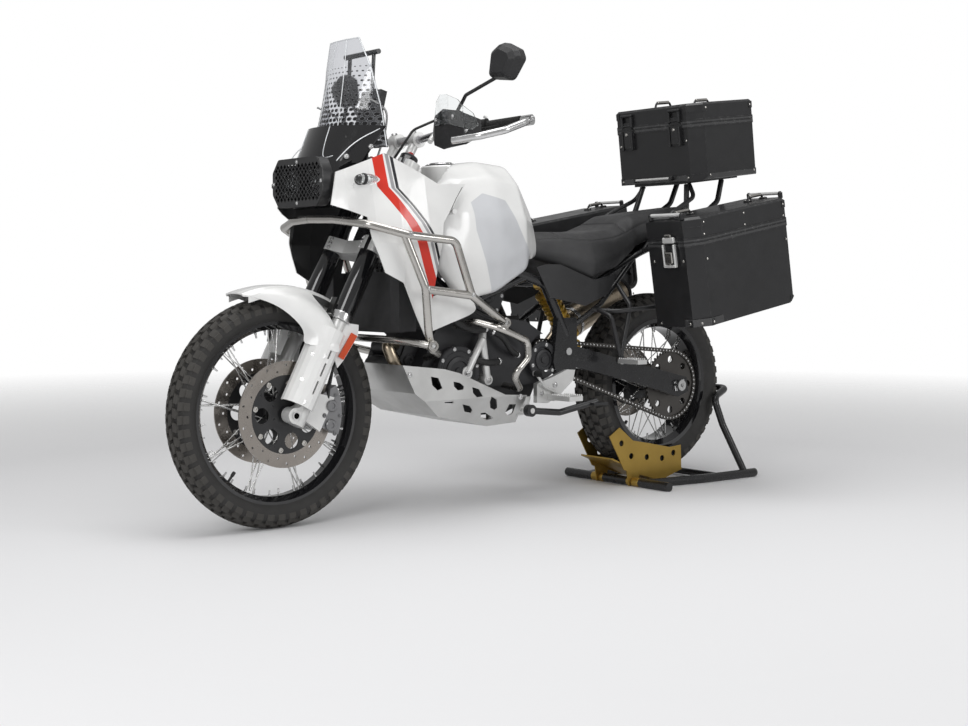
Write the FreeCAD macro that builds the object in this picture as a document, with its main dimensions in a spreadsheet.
import FreeCAD, Part
import Sketcher
import math
import os

# Adventure motorcycle with luggage, standing upright with its rear wheel in a wheel chock.
# X points forward, Y to the rider's left, Z up, in millimetres. Every piece is drawn from the
# point on the ground below the front axle; its Placement then moves it by front_axle_x, so that
# the origin of the part lies on the floor at the middle of the whole machine.

V = FreeCAD.Vector
doc = FreeCAD.newDocument("adventure_motorcycle")

# Name, value in millimetres or degrees, what it is.
SIZES = [
    ("wheelbase", 1608, "front axle to rear axle"),
    ("front_axle_x", 823, "front axle ahead of the origin"),
    ("rake", 27.6, "steering axis from the vertical"),
    ("trail", 122, "steering axis at the ground ahead of the front axle"),
    ("front_radius", 350, "front tyre, 90/90-21"),
    ("front_width", 92, "front tyre across its shoulders"),
    ("front_flange", 283, "front rim flange radius"),
    ("front_rim_inner", 252, "front rim, inside of the well"),
    ("front_rim_width", 68, "front rim across its flanges"),
    ("rear_radius", 334, "rear tyre, 150/70-18"),
    ("rear_width", 150, "rear tyre across its shoulders"),
    ("rear_flange", 242, "rear rim flange radius"),
    ("rear_rim_inner", 210, "rear rim, inside of the well"),
    ("rear_rim_width", 122, "rear rim across its flanges"),
    ("rear_lift", 30, "rear tyre above the ground, in the chock"),
    ("tyre_seat", 0.5, "rear tyre to the ramps of the chock"),
    ("rim_wall", 4, "thickness of both rims"),
    ("spoke_radius", 2, "one spoke"),
    ("spoke_gap", 0.2, "end of a spoke to the rim"),
    ("front_disc_radius", 160, "front brake disc"),
    ("front_disc_inner", 118, "front brake disc, inner edge of the ring"),
    ("front_disc_y", 72.5, "middle of the front brake disc"),
    ("disc_thickness", 5, "all brake discs"),
    ("disc_hole", 4, "drilled holes in the brake discs, radius"),
    ("disc_holes", 28, "drilled holes in each brake disc"),
    ("rear_disc_radius", 132, "rear brake disc"),
    ("rear_disc_inner", 88, "rear brake disc, inner edge of the ring"),
    ("rear_disc_y", 107, "middle of the rear brake disc, right of centre"),
    ("sprocket_radius", 123, "rear sprocket pitch radius"),
    ("pinion_radius", 38, "front sprocket pitch radius"),
    ("chain_y", 112, "middle of the chain"),
    ("chain_width", 16, "chain across its plates"),
    ("chain_height", 15, "chain plates at a pin"),
    ("chain_waist", 11, "chain plates between two pins"),
    ("chain_pitch", 15.875, "chain, pin to pin"),
    ("tooth_width", 7, "sprocket teeth across"),
    ("tooth_gap", 0.9, "sprocket teeth to the chain plates"),
    ("tooth_tip", 2.8, "sprocket teeth outside the pitch circle"),
    ("tooth_root", 4.5, "bottom of the tooth gaps inside the pitch circle"),
    ("front_axle_outer", 12.5, "front axle radius"),
    ("front_axle_bore", 9, "front axle bore radius"),
    ("front_axle_length", 268, "front axle"),
    ("rear_axle_outer", 12.5, "rear axle radius"),
    ("rear_axle_bore", 8, "rear axle bore radius"),
    ("rear_axle_length", 350, "rear axle"),
    ("running_clearance", 0.1, "wheel hubs on their axles and pins in their bores"),
    ("fork_half_gap", 105, "fork legs either side of the middle"),
    ("fork_offset", 30, "fork legs ahead of the steering axis"),
    ("fork_outer_radius", 29, "fork outer tube"),
    ("fork_leg_radius", 23, "fork inner leg"),
    ("guard_radius", 52, "fork guards, outside"),
    ("guard_ahead", 51, "middle of the fork guards ahead of the steering axis"),
    ("guard_low", 398, "lower end of the fork guards along the axis"),
    ("guard_high", 650, "upper end of the fork guards along the axis"),
    ("hose_radius", 4, "brake hoses and control cables"),
    ("fork_top", 1256, "fork caps, along the steering axis from the ground"),
    ("fork_outer_low", 700, "lower end of the fork outer tubes along the axis"),
    ("lower_yoke_low", 925, "underside of the lower yoke along the axis"),
    ("lower_yoke_height", 45, "lower yoke"),
    ("upper_yoke_low", 1213, "underside of the upper yoke along the axis"),
    ("upper_yoke_height", 30, "upper yoke"),
    ("bar_station", 1345, "handlebar centre along the steering axis"),
    ("bar_radius", 11, "handlebar tube at the grips"),
    ("bar_thick_radius", 14, "handlebar tube at the clamps"),
    ("exhaust_tube", 19, "exhaust header radius"),
    ("stem_radius", 15, "steering stem"),
    ("headstock_radius", 32, "headstock tube"),
    ("bearing_gap", 3, "headstock to each yoke"),
    ("steering_room", 154, "radius kept clear of the turning yokes"),
    ("steering_lock", 35, "steering to either side"),
    ("frame_tube", 16, "main frame tube radius"),
    ("rail_tube", 11, "subframe tube radius"),
    ("cross_tube", 9, "subframe strut and cross tube radius"),
    ("rack_tube", 8, "luggage rack tube radius"),
    ("bar_guard_tube", 12.5, "crash bar tube radius"),
    ("lamp_x", -112, "lamp glasses behind the front axle"),
    ("lamp_y", 68, "lamp centres from the middle"),
    ("lamp_z", 1043, "lamp centres above the ground"),
    ("lamp_radius", 57, "headlamps"),
    ("lamp_guard_x", -90, "front of the lamp guard"),
    ("lamp_guard_sheet", 3, "lamp guard sheet"),
    ("mesh_cell", 20, "lamp guard mesh, from hole to hole"),
    ("mesh_hole", 8, "lamp guard mesh, half a diamond hole"),
    ("pivot_x", -1055, "swingarm pivot"),
    ("pivot_z", 506, "swingarm pivot height"),
    ("arm_inner_y", 128, "inner face of the swingarm legs"),
    ("arm_thickness", 28, "swingarm legs"),
    ("pinion_x", -975, "front sprocket"),
    ("pinion_z", 505, "front sprocket height"),
    ("side_case_length", 520, "side case, front to back"),
    ("side_case_width", 209.5, "side case, side to side"),
    ("side_case_height", 285, "side case below its lid"),
    ("side_lid_height", 82, "side case lid"),
    ("side_case_y", 303, "inner face of the side cases"),
    ("side_case_x", -1345, "lower front edge of the side cases"),
    ("side_case_z", 588, "lower front edge of the side cases above the ground"),
    ("side_case_tilt", 10, "side cases, rear end up"),
    ("top_case_length", 350, "top case, front to back"),
    ("top_case_width", 440, "top case, side to side"),
    ("top_case_height", 205, "top case below its lid"),
    ("top_lid_height", 72, "top case lid"),
    ("top_case_x", -1645, "lower front edge of the top case"),
    ("case_seat", 0.3, "top case to the rack plate under it"),
    ("top_case_z", 1103, "lower front edge of the top case above the ground"),
    ("top_case_tilt", 7, "top case, rear end up"),
    ("case_wall", 4, "case walls, sheet with its lining"),
    ("case_chamfer", 44, "bevelled upright corners of the cases"),
    ("case_rim", 2.5, "rims and corner guards proud of the cases"),
    ("rim_height", 14, "rims of case and lid beside their joint"),
    ("corner_guard", 24, "height of the corner guards of the cases"),
    ("side_case_bevel", 62, "side case, lower rear corner cut off"),
    ("top_case_bevel", 20, "top case, lower edges bevelled"),
    ("latch_width", 62, "case latches"),
    ("latch_height", 74, "case latches below the lid"),
    ("lid_gap", 0.5, "lid to case"),
    ("hinge_pin", 3, "case hinge pin radius"),
    ("hinge_barrel", 7, "case hinge barrel radius"),
    ("lid_open", 95, "case lids swing open"),
    ("stand_swing", 100, "side stand, folded to down"),
    ("skin", 4, "thickness of the plastic panels"),
    ("sheet", 4, "thickness of the skid plate"),
    ("screen_sheet", 4, "thickness of the windscreen"),
]

sheet = doc.addObject("Spreadsheet::Sheet", "Sizes")
for row, (alias, value, note) in enumerate(SIZES, start=1):
    sheet.set("A%d" % row, alias)
    sheet.set("B%d" % row, str(value))
    sheet.set("C%d" % row, note)
    sheet.setAlias("B%d" % row, alias)
doc.recompute()


def size(alias):
    return float(sheet.get(alias))


NODES = []
BIKE = FreeCAD.Placement(V(size("front_axle_x"), 0, 0), FreeCAD.Rotation())
RAKE = math.radians(size("rake"))
UP = V(-math.sin(RAKE), 0, math.cos(RAKE))
AHEAD = V(math.cos(RAKE), 0, math.sin(RAKE))
FRONT_AXLE = V(0, 0, size("front_radius"))
REAR_AXLE = V(-size("wheelbase"), 0, size("rear_radius") + size("rear_lift"))


def fork(along, ahead=0.0, left=0.0):
    """Point in the steering frame: along the axis from the ground, ahead of it, to the left."""
    return V(size("trail"), left, 0) + UP * along + AHEAD * ahead


def node(label, shape, placement=BIKE):
    feature = doc.addObject("Part::Feature", label)
    feature.Label = label
    feature.Shape = shape
    feature.Placement = placement
    NODES.append(feature)
    return feature


def keep(feature, placement=None):
    if placement is not None:
        feature.Placement = placement
    NODES.append(feature)
    return feature


def bound(kind, name, placement=None, **expressions):
    """A primitive whose sizes follow the sheet."""
    feature = doc.addObject("Part::" + kind, name)
    for prop, expression in expressions.items():
        feature.setExpression(prop, expression)
    if placement is not None:
        feature.Placement = placement
    return feature


def combined(kind, name, features):
    """Part::MultiFuse of a list, or Part::Cut of a base and a tool."""
    result = doc.addObject("Part::" + kind, name)
    if kind == "MultiFuse":
        result.Shapes = features
    else:
        result.Base, result.Tool = features
    return result


def turned_body(label, rows, placement):
    """Body turned about its Y axis from rows of (radius, place along the axis)."""
    body = doc.addObject("PartDesign::Body", label)
    sketch = body.newObject("Sketcher::SketchObject", label + "_profile")
    plane = [f for f in body.Origin.OriginFeatures if f.Role == "XY_Plane"][0]
    sketch.AttachmentSupport = [(plane, "")]
    sketch.MapMode = "FlatFace"
    values = [[float(sheet.evalExpression(text)) for text in row] for row in rows]
    points = [V(x, y, 0) for x, y in values]
    for i, point in enumerate(points):
        sketch.addGeometry(Part.LineSegment(point, points[(i + 1) % len(points)]), False)
    for i in range(len(points)):
        sketch.addConstraint(Sketcher.Constraint("Coincident", i, 2, (i + 1) % len(points), 1))
    for i, row in enumerate(rows):
        for direction, text, value in zip(("DistanceX", "DistanceY"), row, values[i]):
            index = sketch.addConstraint(
                Sketcher.Constraint(direction, -1, 1, i, 1, value))
            sketch.setExpression("Constraints[%d]" % index, text)
    turn = body.newObject("PartDesign::Revolution", label + "_turned")
    turn.Profile = sketch
    turn.ReferenceAxis = (sketch, ["V_Axis"])
    turn.Angle = 360
    body.Tip = turn
    body.Placement = placement
    return body


def polygon(points):
    return Part.Wire(Part.makePolygon(list(points) + [points[0]]))


def side_profile(rows, y_low, y_high):
    """Prism across the machine from a side view of (X, Z) rows."""
    face = Part.Face(polygon([V(x, y_low, z) for x, z in rows]))
    return face.extrude(V(0, y_high - y_low, 0))


def front_profile(rows, x_low, x_high):
    face = Part.Face(polygon([V(x_low, y, z) for y, z in rows]))
    return face.extrude(V(x_high - x_low, 0, 0))


def plan_profile(rows, z_low, z_high):
    face = Part.Face(polygon([V(x, y, z_low) for x, y in rows]))
    return face.extrude(V(0, 0, z_high - z_low))


def flat_plate(wires, y_low, y_high):
    """Plate across the machine from closed wires at Y = 0: its outline and its holes."""
    face = Part.makeFace(wires, "Part::FaceMakerBullseye")
    face.translate(V(0, y_low, 0))
    return face.extrude(V(0, y_high - y_low, 0))


def circle(radius, x=0.0, z=0.0):
    """Closed circle at Y = 0, seen from the side."""
    return Part.Wire(Part.makeCircle(radius, V(x, 0, z), V(0, 1, 0)))


def thin_sheet(outer, inner):
    """Solid sheet between two like nets of points, closed with flat triangles."""
    faces = []

    def quad(a, b, c, d):
        for corners in ((a, b, c), (a, c, d)):
            faces.append(Part.Face(Part.makePolygon(list(corners) + [corners[0]])))

    rows, columns = len(outer), len(outer[0])
    for i in range(rows - 1):
        for j in range(columns - 1):
            for net in (outer, inner):
                quad(net[i][j], net[i + 1][j], net[i + 1][j + 1], net[i][j + 1])
    for i in range(rows - 1):
        for j in (0, columns - 1):
            quad(outer[i][j], outer[i + 1][j], inner[i + 1][j], inner[i][j])
    for j in range(columns - 1):
        for i in (0, rows - 1):
            quad(outer[i][j], outer[i][j + 1], inner[i][j + 1], inner[i][j])
    return Part.makeSolid(Part.makeShell(faces))


def other_side(shape):
    return shape.mirror(V(0, 0, 0), V(0, 1, 0))


def both_sides(shape):
    return [shape, other_side(shape)]


def fused(shapes):
    result = shapes[0].multiFuse(shapes[1:]) if len(shapes) > 1 else shapes[0]
    return result.removeSplitter()


def rod(start, end, radius):
    return Part.makeCylinder(radius, (end - start).Length, start, end - start)


def rounded_wire(points, radii, closed=True):
    """Straight runs joined by tangent arcs; a radius is limited by the runs beside its corner."""
    count = len(points)
    edges, ends = [], []
    for i, point in enumerate(points):
        if not closed and i in (0, count - 1):
            ends.append((point, point, None))
            continue
        before, after = points[i - 1] - point, points[(i + 1) % count] - point
        half_turn = (math.pi - before.getAngle(after)) / 2
        reach = min(radii[i] * math.tan(half_turn), 0.45 * before.Length, 0.45 * after.Length)
        if reach < 0.01:
            ends.append((point, point, None))
            continue
        first = point + V(before).normalize() * reach
        last = point + V(after).normalize() * reach
        middle_dir = V(V(before).normalize() + V(after).normalize()).normalize()
        radius = reach / math.tan(half_turn)
        middle = point + middle_dir * (radius / math.cos(half_turn) - radius)
        ends.append((first, last, middle))
    for i, (first, last, middle) in enumerate(ends):
        if middle is not None:
            edges.append(Part.Arc(first, middle, last).toShape())
        if closed or i < count - 1:
            following = ends[(i + 1) % count][0]
            if (following - last).Length > 0.01:
                edges.append(Part.LineSegment(last, following).toShape())
    return Part.Wire(edges)


def tube(points, radius, bend):
    """Round bar or tube along a route with bends of one radius."""
    route = [V(*p) if isinstance(p, tuple) else p for p in points]
    path = rounded_wire(route, [bend] * len(route), closed=False)
    start = path.OrderedEdges[0]
    ring = Part.Wire(Part.makeCircle(radius, route[0], start.tangentAt(start.FirstParameter)))
    return path.makePipeShell([ring], True, False)


def loft(sections, radii=None, ruled=True):
    """Solid through closed sections, each a list of points with the same number of corners."""
    wires = []
    for section in sections:
        rounding = radii or [0] * len(section)
        wires.append(rounded_wire(section, rounding))
    return Part.makeLoft(wires, True, ruled)


def turned(rows):
    """Solid turned about the Y axis from (radius, along) rows."""
    return Part.Face(polygon([V(r, y, 0) for r, y in rows])).revolve(V(0, 0, 0), V(0, 1, 0), 360)


def about_y(shape, degrees):
    turned_shape = shape.copy()
    turned_shape.rotate(V(0, 0, 0), V(0, 1, 0), degrees)
    return turned_shape


def ring_of(shape, count, first=0.0):
    return [about_y(shape, first + 360.0 * i / count) for i in range(count)]


# Wheels.
def tyre_shape(radius, width, flange, rim_width):
    """Solid section seated between the rim flanges, from bead to crown in straight bands."""
    seat = rim_width / 2 - size("rim_wall")
    bead = flange - 12
    height, half = radius - flange, width / 2
    side = [(bead, seat), (flange + 1, seat), (flange + 0.42 * height, half),
            (flange + 0.80 * height, 0.90 * half), (radius - 0.04 * height, 0.42 * half),
            (radius, 0.12 * half)]
    return turned(side + [(r, -y) for r, y in side[::-1]])


def rim_rows(flange, inner, width):
    """Corners of a spoked rim: two flanges, bead seats and the well, as sheet formulas."""
    rows = []
    for sign in (1, -1):
        side = "%s/2*%d" % (width, sign)
        seat = "(%s/2-Sizes.rim_wall)*%d" % (width, sign)
        well = "(%s/2-Sizes.rim_wall*4)*%d" % (width, sign)
        outer = [(flange, side), (flange, seat), ("%s-12" % flange, seat),
                 ("%s+Sizes.rim_wall" % inner, well)]
        rows.append(outer if sign > 0 else outer[::-1])
    under = [("%s-16" % flange, "-%s/2" % width),
             (inner, "-(%s/2-Sizes.rim_wall*5)" % width),
             (inner, "%s/2-Sizes.rim_wall*5" % width),
             ("%s-16" % flange, "%s/2" % width)]
    return rows[0] + rows[1] + under


def spokes(hub_radius, hub_y, rim_inner, rim_y, count, lead):
    """Crossed spokes from one flange; every second one leans the other way."""
    made = []
    for i in range(count):
        sign = 1 if i % 2 else -1
        hub_angle = math.radians(360.0 * i / count)
        rim_angle = hub_angle + math.radians(lead) * sign
        start = V(hub_radius * math.cos(hub_angle), hub_y + 2.6 * sign, hub_radius * math.sin(hub_angle))
        reach = rim_inner - 3 * size("spoke_gap")
        end = V(reach * math.cos(rim_angle), rim_y + 3.5 * sign, reach * math.sin(rim_angle))
        made.append(rod(start, end, size("spoke_radius")))
    return made


FRONT_WHEEL = FreeCAD.Placement(BIKE.Base + FRONT_AXLE, FreeCAD.Rotation())
REAR_WHEEL = FreeCAD.Placement(BIKE.Base + REAR_AXLE, FreeCAD.Rotation())
hub_bore = size("front_axle_outer") + size("running_clearance")
half_disc = size("disc_thickness") / 2

node("front_tyre", tyre_shape(size("front_radius"), size("front_width"), size("front_flange"),
                              size("front_rim_width")), FRONT_WHEEL)
keep(turned_body("front_rim", rim_rows("Sizes.front_flange", "Sizes.front_rim_inner",
                                         "Sizes.front_rim_width"),
                 FRONT_WHEEL))
carrier = size("front_disc_inner")
disc_y = size("front_disc_y")
flange_y = 33
rows = [(hub_bore, -disc_y - 5), (24, -disc_y - 5), (24, -disc_y - half_disc),
        (carrier, -disc_y - half_disc), (carrier, -disc_y + half_disc), (30, -disc_y + half_disc),
        (27, -40), (46, -37), (46, -29), (22, -25)]
rows += [(r, -y) for r, y in rows[::-1]]
hub = turned(rows)
for sign in (1, -1):
    window = Part.makeCylinder(24, 20, V(82, sign * disc_y - 10, 0), V(0, 1, 0))
    for cutter in ring_of(window, 7):
        hub = hub.cut(cutter)
laced = []
for sign in (1, -1):
    laced += spokes(44, sign * flange_y, size("front_rim_inner"), sign * 10, 18, 32)
node("front_hub_spokes", hub.multiFuse(laced), FRONT_WHEEL)


def drilled_disc(outer, inner, middle_y):
    """Brake disc ring with two staggered rows of holes."""
    wires = [circle(outer), circle(inner)]
    count = int(size("disc_holes"))
    for i in range(count):
        angle = math.radians(360.0 * i / count)
        reach = (outer + inner) / 2 + (0.2 if i % 2 else -0.2) * (outer - inner)
        wires.append(circle(size("disc_hole"), reach * math.cos(angle), reach * math.sin(angle)))
    return flat_plate(wires, middle_y - half_disc, middle_y + half_disc)


discs = [drilled_disc(size("front_disc_radius"), carrier, sign * disc_y) for sign in (1, -1)]
node("front_brake_discs", Part.makeCompound(discs), FRONT_WHEEL)

node("rear_tyre", tyre_shape(size("rear_radius"), size("rear_width"), size("rear_flange"),
                             size("rear_rim_width")), REAR_WHEEL)
keep(turned_body("rear_rim", rim_rows("Sizes.rear_flange", "Sizes.rear_rim_inner",
                                        "Sizes.rear_rim_width"),
                 REAR_WHEEL))
rear_bore = size("rear_axle_outer") + size("running_clearance")
rear_carrier = size("rear_disc_inner")
rear_disc_y = -size("rear_disc_y")
chain_y = size("chain_y")
sprocket_seat = chain_y - 3.5
rows = [(rear_bore, rear_disc_y - 8), (26, rear_disc_y - 8), (26, rear_disc_y - half_disc),
        (rear_carrier, rear_disc_y - half_disc), (rear_carrier, rear_disc_y + half_disc),
        (38, rear_disc_y + half_disc), (34, -50), (62, -46), (62, -36), (32, -30), (32, 30),
        (62, 36), (62, 46), (50, 52), (56, 80), (70, sprocket_seat), (24, sprocket_seat),
        (24, chain_y + 8), (rear_bore, chain_y + 8)]
hub = turned(rows)
window = Part.makeCylinder(15, 20, V(62, rear_disc_y - 10, 0), V(0, 1, 0))
for cutter in ring_of(window, 6):
    hub = hub.cut(cutter)
laced = []
for sign in (1, -1):
    laced += spokes(59, sign * 41, size("rear_rim_inner"), sign * 22, 18, 30)
node("rear_hub_spokes", hub.multiFuse(laced), REAR_WHEEL)
node("rear_brake_disc", drilled_disc(size("rear_disc_radius"), rear_carrier, rear_disc_y), REAR_WHEEL)


def sprocket_wire(pitch_radius):
    """Toothed outline of a sprocket at Y = 0."""
    teeth = round(2 * math.pi * pitch_radius / size("chain_pitch"))
    root, tip = pitch_radius - size("tooth_root"), pitch_radius + size("tooth_tip")
    points = []
    for i in range(teeth):
        for share, reach in ((-0.34, root), (-0.12, tip), (0.12, tip), (0.34, root)):
            angle = 2 * math.pi * (i + share) / teeth
            points.append(V(reach * math.cos(angle), 0, reach * math.sin(angle)))
    return polygon(points)


half_tooth = size("tooth_width") / 2
slots = [circle(13, 92 * math.cos(i * math.pi / 4), 92 * math.sin(i * math.pi / 4)) for i in range(8)]
node("rear_sprocket", flat_plate([sprocket_wire(size("sprocket_radius")), circle(24)] + slots,
                            chain_y - half_tooth, chain_y + half_tooth), REAR_WHEEL)

# Front fork and bars.
axle_along = (FRONT_AXLE - V(size("trail"), 0, 0)).dot(UP)
axle_ahead = (FRONT_AXLE - V(size("trail"), 0, 0)).dot(AHEAD)
fork_gap, fork_t = size("fork_half_gap"), size("fork_offset")
outer_r, leg_r = size("fork_outer_radius"), size("fork_leg_radius")

shaft = bound("Cylinder", "front_axle_shaft", Radius="Sizes.front_axle_outer",
              Height="Sizes.front_axle_length")
bore = bound("Cylinder", "front_axle_hole", Radius="Sizes.front_axle_bore",
             Height="Sizes.front_axle_length")
front_axle = combined("Cut", "front_axle", (shaft, bore))
across = FreeCAD.Rotation(V(1, 0, 0), -90)
keep(front_axle, FreeCAD.Placement(
    BIKE.Base + FRONT_AXLE - V(0, size("front_axle_length") / 2, 0), across))

tubes = []
for sign in (1, -1):
    upper = rod(fork(size("fork_outer_low"), fork_t, sign * fork_gap),
                fork(size("fork_top"), fork_t, sign * fork_gap), outer_r)
    hollow = rod(fork(size("fork_outer_low"), fork_t, sign * fork_gap),
                 fork(size("fork_top") - 30, fork_t, sign * fork_gap), leg_r)
    tubes.append(upper.cut(hollow))
node("fork_outer_tubes", Part.makeCompound(tubes))

foot_outer, foot_inner = 129, 86
legs = []
for sign in (1, -1):
    leg = rod(fork(axle_along - 20, fork_t, sign * fork_gap),
              fork(size("lower_yoke_low"), fork_t, sign * fork_gap), leg_r)
    boot = rod(fork(axle_along - 22, fork_t, sign * fork_gap),
               fork(axle_along + 55, fork_t, sign * fork_gap), leg_r + 3)
    low, high = sorted((sign * foot_inner, sign * foot_outer))
    eye = Part.makeCylinder(24, high - low, FRONT_AXLE + V(0, low, 0), V(0, 1, 0))
    bridge = [fork(axle_along - 18, fork_t, low), fork(axle_along - 20, axle_ahead, low),
              fork(axle_along + 20, axle_ahead + 8, low), fork(axle_along + 55, fork_t, low)]
    bridge = Part.Face(polygon(bridge)).extrude(V(0, high - low, 0))
    lug = [fork(axle_along + 8, fork_t, low), fork(axle_along - 4, -60, low),
           fork(axle_along + 110, -60, low), fork(axle_along + 90, fork_t, low)]
    inner = sign * 90 if sign > 0 else sign * 104
    lug = Part.Face(polygon([V(p.x, inner, p.z) for p in lug])).extrude(V(0, 14, 0))
    foot = leg.multiFuse([boot, eye, bridge, lug])
    foot = foot.cut(Part.makeCylinder(size("front_axle_outer"), 400, FRONT_AXLE - V(0, 200, 0),
                                      V(0, 1, 0)))
    legs.append(foot)
node("fork_legs", Part.makeCompound(legs))


def yoke(low, height, half_length, stem_hole):
    """Clamp plate across both fork tubes and the stem."""
    outline = [fork(low, fork_t + 34, fork_gap - 4), fork(low, fork_t + 12, fork_gap + 38),
               fork(low, fork_t - 30, fork_gap + 36), fork(low, -half_length, 40),
               fork(low, -half_length, -40), fork(low, fork_t - 30, -fork_gap - 36),
               fork(low, fork_t + 12, -fork_gap - 38), fork(low, fork_t + 34, 4 - fork_gap),
               fork(low, fork_t - 2, -45), fork(low, fork_t - 2, 45)]
    radii = [18, 18, 18, 14, 14, 18, 18, 18, 12, 12]
    plate = Part.Face(rounded_wire(outline, radii)).extrude(UP * height)
    for sign in (1, -1):
        plate = plate.cut(rod(fork(low - 1, fork_t, sign * fork_gap),
                              fork(low + height + 1, fork_t, sign * fork_gap), outer_r))
    if stem_hole:
        plate = plate.cut(rod(fork(low - 1), fork(low + height + 1), size("stem_radius")))
    return plate


low_yoke, low_height = size("lower_yoke_low"), size("lower_yoke_height")
top_yoke, top_height = size("upper_yoke_low"), size("upper_yoke_height")
stem = rod(fork(low_yoke + 5), fork(top_yoke + top_height + 8), size("stem_radius"))
low_clamp = yoke(low_yoke, low_height, 34, False).fuse(stem)
node("lower_yoke_stem", low_clamp)
bar_s, bar_r = size("bar_station"), size("bar_thick_radius")
risers = yoke(top_yoke, top_height, 30, True)
for sign in (1, -1):
    risers = risers.fuse(rod(fork(top_yoke + top_height - 2, 6, sign * 52),
                             fork(bar_s, 0, sign * 52), 15))
    risers = risers.fuse(Part.makeCylinder(bar_r + 11, 34, fork(bar_s, 0, sign * 52 - 17), V(0, 1, 0)))
bar_route = [fork(bar_s, 0, 0), fork(bar_s, 0, 82), V(-512, 172, 1207), V(-560, 325, 1216),
             V(-606, 471, 1227)]
half_bar = tube(bar_route, size("bar_radius"), 90)
centre_bar = Part.makeCylinder(bar_r, 156, fork(bar_s, 0, -78), V(0, 1, 0))
handlebar = fused([half_bar, other_side(half_bar), centre_bar])
risers = risers.cut(centre_bar)
node("upper_yoke_risers", risers)
node("handlebar", handlebar)
grip_start = bar_route[3]
grip_end = bar_route[4]
along = V(grip_end - grip_start).normalize()
grip_outer = rod(grip_start + along * 12, grip_end - along * 24, 17)
switch = rod(grip_start - along * 34, grip_start + along * 8, 24)
grip = fused([grip_outer.fuse(switch)]).cut(half_bar)
lever = tube([V(-520, 205, 1200), V(-500, 250, 1196), V(-500, 330, 1198), V(-530, 425, 1208)],
             5, 40)
master = rod(V(-521, 178, 1203), V(-528, 216, 1205), 19).cut(half_bar)
controls = []
for shape in (grip, lever.fuse(master).cut(half_bar)):
    controls += both_sides(shape)
node("grips_and_levers", Part.makeCompound(controls))

backbone = tube([V(-606, 474, 1226), V(-572, 500, 1217), V(-490, 503, 1188),
                 V(-428, 462, 1170), V(-388, 384, 1160)], 11, 34)
backbone = backbone.cut(rod(V(-388, 384, 1160), V(-396, 400, 1162), 8))
end_clamp = rod(grip_end - along * 18, grip_end + along * 16, 16)
inner_arm = tube([V(-508, 156, 1205), V(-472, 190, 1196), V(-448, 236, 1190)], 8, 20)
bracket = Part.makeCompound([fused([backbone, end_clamp]).cut(half_bar), inner_arm.cut(half_bar)])
node("guard_backbones", Part.makeCompound([p for side in both_sides(bracket) for p in side.Solids]))


def guard(front, back_offset, outline):
    """Curved plate: a band drawn in plan, trimmed to an outline drawn from the front."""
    band = [(x, y) for x, y in front] + [(x - back_offset, y) for x, y in front[::-1]]
    plate = plan_profile(band, 1100, 1340)
    return plate.common(front_profile(outline, -700, -300))


shell_line = [(-452, 205), (-424, 250), (-416, 330), (-420, 395), (-446, 442)]
shell = guard(shell_line, size("skin"),
              [(206, 1205), (240, 1240), (300, 1262), (380, 1250), (440, 1222), (480, 1205),
               (478, 1195), (400, 1150), (300, 1142), (240, 1160), (206, 1190)])
shell = shell.cut(bracket).cut(inner_arm)
node("hand_guards", Part.makeCompound(both_sides(shell)))
shield_line = [(x + 3.3, y) for x, y in shell_line[1:]]
shield = guard(shield_line, 3, [(252, 1215), (262, 1285), (285, 1306), (318, 1304), (372, 1284),
                                (424, 1240), (438, 1205), (420, 1192), (330, 1215)])
node("wind_deflectors", Part.makeCompound(both_sides(shield)))

stalk = tube([V(-528, 200, 1222), V(-512, 250, 1265), V(-505, 300, 1310), V(-560, 420, 1370)], 5.5, 14)
mirror_line = [(-56, 36), (-8, 60), (58, 30), (72, 2), (20, -56), (-70, -44)]
mirror_radii = [18, 26, 14, 14, 30, 16]


def mirror_section(x, share):
    points = [V(x, 440 + share * y, 1398 + share * z) for y, z in mirror_line]
    return rounded_wire(points, [share * r for r in mirror_radii])


head = Part.makeLoft([mirror_section(-518, 0.62), mirror_section(-530, 0.88),
                      mirror_section(-548, 1.0), mirror_section(-566, 1.0)], True, True)
node("mirrors", Part.makeCompound(both_sides(fused([stalk, head]).cut(half_bar).cut(master))))

fender_arc = []
for r, y in ((352, 62), (370, 62), (383, 46), (386, 20), (386, -20), (383, -46), (370, -62),
             (352, -62)):
    fender_arc.append(V(r, y, 0))
inner = [V(p.x - size("skin") * (1 if abs(p.y) < 50 else 0.3), p.y * (1 - size("skin") / 62), 0)
         for p in fender_arc]
inner[0].x, inner[-1].x = 352, 352
section = Part.Face(Part.Wire(Part.makePolygon(fender_arc + inner[::-1] + [fender_arc[0]])))
section.rotate(V(0, 0, 0), V(0, 1, 0), -70)
crown = section.revolve(V(0, 0, 0), V(0, 1, 0), -58)
crown.translate(FRONT_AXLE)
nose = [(180, -16), (180, 16), (118, 56), (60, 90), (-400, 90), (-400, -90), (60, -90), (118, -56)]
crown = crown.common(plan_profile(nose, 400, 900))
guard_t, guard_r = size("guard_ahead"), size("guard_radius")
guard_low, guard_high = size("guard_low"), size("guard_high")


def guard_point(along, degrees, radius, sign):
    """Point on the round of a fork guard; 0 degrees faces ahead and 90 faces out."""
    angle = math.radians(degrees)
    return fork(along, guard_t + radius * math.cos(angle),
                sign * (fork_gap + radius * math.sin(angle)))


def guard_section(along, angles, sign):
    outer = [guard_point(along, a, guard_r, sign) for a in angles]
    return outer + [guard_point(along, a, guard_r - skin, sign) for a in angles[::-1]]


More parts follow.
